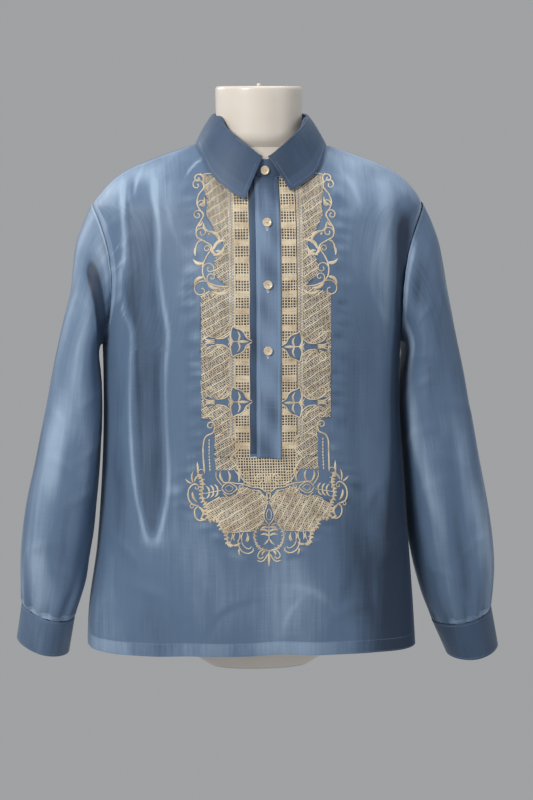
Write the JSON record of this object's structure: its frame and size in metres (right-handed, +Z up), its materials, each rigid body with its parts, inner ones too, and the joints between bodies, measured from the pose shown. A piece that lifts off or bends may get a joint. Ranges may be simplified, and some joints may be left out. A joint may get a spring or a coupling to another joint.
{
  "type": "barong tagalog on dress form",
  "caption": "Long-sleeved pullover shirt of sheer cloth with an embroidered front, turned collar, half placket and buttoned cuffs, filled out on a headless, armless dress form.",
  "frame": {"origin": "centre of the dress form's flat base, which stands on the floor", "axes": "+Z up; -Y towards the shirt's front; +X towards the wearer's left"},
  "size_m": [0.7166, 0.2648, 0.8499],
  "materials": {
    "sheer_cloth": "sheer crisp organza with a soft sheen",
    "thread": "satin-stitch embroidery thread",
    "shell": "polished shell",
    "form_shell": "smooth, warm off-white"
  },
  "bodies": {
    "root": {"front_panel": "sheer_cloth", "back_panel": "sheer_cloth", "sleeve_right": "sheer_cloth", "sleeve_left": "sheer_cloth", "collar_stand": "sheer_cloth", "collar_leaf": "sheer_cloth", "cuff_right": "sheer_cloth", "cuff_left": "sheer_cloth", "placket_under": "sheer_cloth", "placket_over": "sheer_cloth", "embroidery_right_band": "thread", "embroidery_left_band": "thread", "embroidery_lower_piece": "thread", "button_collar": "shell", "button_upper": "shell", "button_middle": "shell", "button_lower": "shell", "cuff_button_right": "shell", "cuff_button_left": "shell", "dress_form": "form_shell", "form_neck_pin": "form_shell"}
  },
  "joints": []
}
